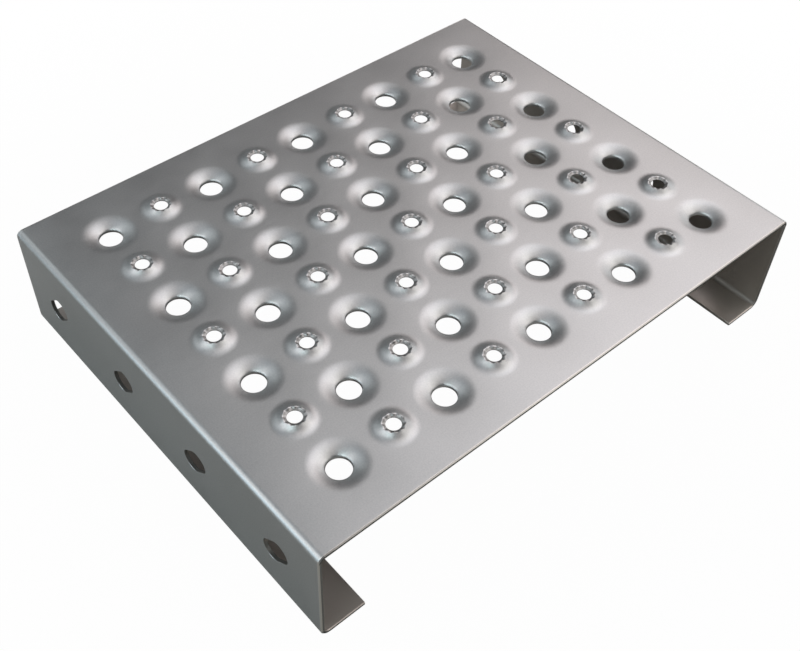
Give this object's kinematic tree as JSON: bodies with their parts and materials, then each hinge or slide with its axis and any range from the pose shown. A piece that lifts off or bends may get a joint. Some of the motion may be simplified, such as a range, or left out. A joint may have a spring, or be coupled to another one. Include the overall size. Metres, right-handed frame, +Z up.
{
  "type": "perforated steel plank",
  "caption": "Bent sheet-steel channel plank with drawn drain holes, raised toothed grip holes, slanted slots in both side webs and inward return lips underneath.",
  "frame": {"origin": "on the floor, under the middle of the walking face", "axes": "+X along the webs, +Y across the walking face from web to web, +Z up, out of the walking face"},
  "size_m": [0.188, 0.24, 0.0522],
  "materials": {
    "galvanised_steel": "satin, lightly grained zinc-coated sheet"
  },
  "bodies": {
    "root": {"perforated_plank": "galvanised_steel"}
  },
  "joints": []
}
